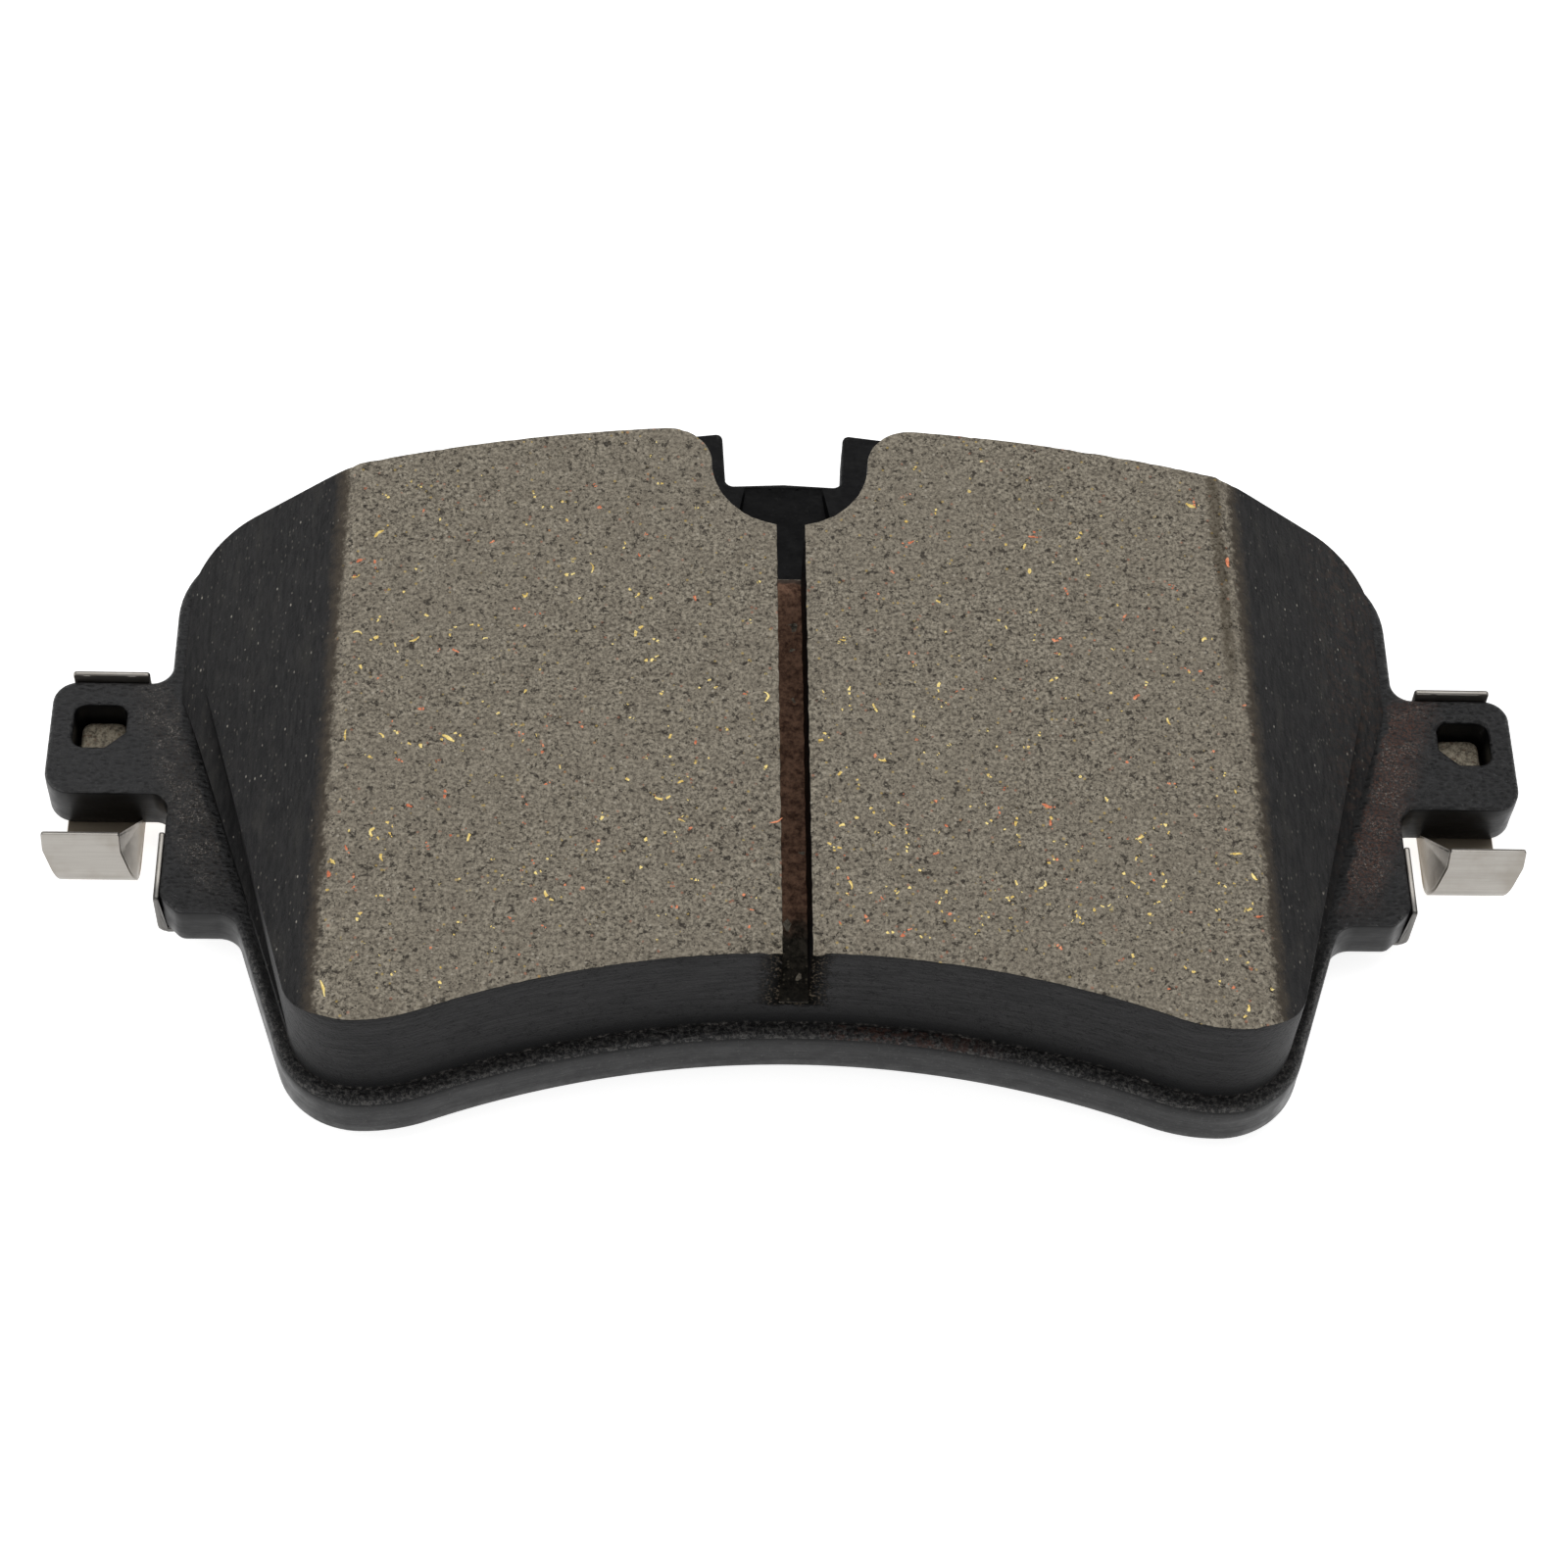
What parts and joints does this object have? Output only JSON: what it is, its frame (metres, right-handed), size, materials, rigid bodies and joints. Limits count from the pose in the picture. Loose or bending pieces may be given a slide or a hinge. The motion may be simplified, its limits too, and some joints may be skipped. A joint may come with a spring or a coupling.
{
  "type": "disc brake pad",
  "caption": "Disc brake pad: steel backing plate with slotted, bevelled friction lining, noise shim and a sprung stainless clip on each ear",
  "frame": {"origin": "on the back face of the noise shim, on the plane of symmetry, level with the lower edges of the ears", "axes": "+X along the pad from ear to ear, +Y towards the radially outer edge with the sensor fork, +Z out of the friction face towards the disc"},
  "size_m": [0.131, 0.0723, 0.0179],
  "materials": {
    "plate_steel": "black powder coat with an orange-peel texture",
    "bond": "cured adhesive",
    "underlayer": "pressed dark composite",
    "friction": "ground composite with metal and graphite specks",
    "shim_glue": "adhesive film",
    "shim_steel": "rolled",
    "shim_rubber": "matt coating",
    "clip_steel": "satin rolled stainless strip"
  },
  "bodies": {
    "pad": {"backing_plate": "plate_steel", "bond_film": "bond", "underlayer": "underlayer", "friction_lining": "friction", "shim_adhesive": "shim_glue", "shim_core": "shim_steel", "shim_rubber_coat": "shim_rubber", "left_clip": "clip_steel", "right_clip": "clip_steel"},
    "left_leg": {"left_clip_leg": "clip_steel"},
    "right_leg": {"right_clip_leg": "clip_steel"}
  },
  "joints": [
    {"name": "left_leg_flex", "type": "hinge", "parent": "pad", "child": "left_leg", "pos_m": [-0.0603, -0.00573, 0.00123], "axis": [-1, 0, 0], "range_deg": [-3, 22], "stiffness_Nm_per_rad": 0.25},
    {"name": "right_leg_flex", "type": "hinge", "parent": "pad", "child": "right_leg", "pos_m": [0.0603, -0.00573, 0.00123], "axis": [-1, 0, 0], "range_deg": [-3, 22], "stiffness_Nm_per_rad": 0.25}
  ]
}
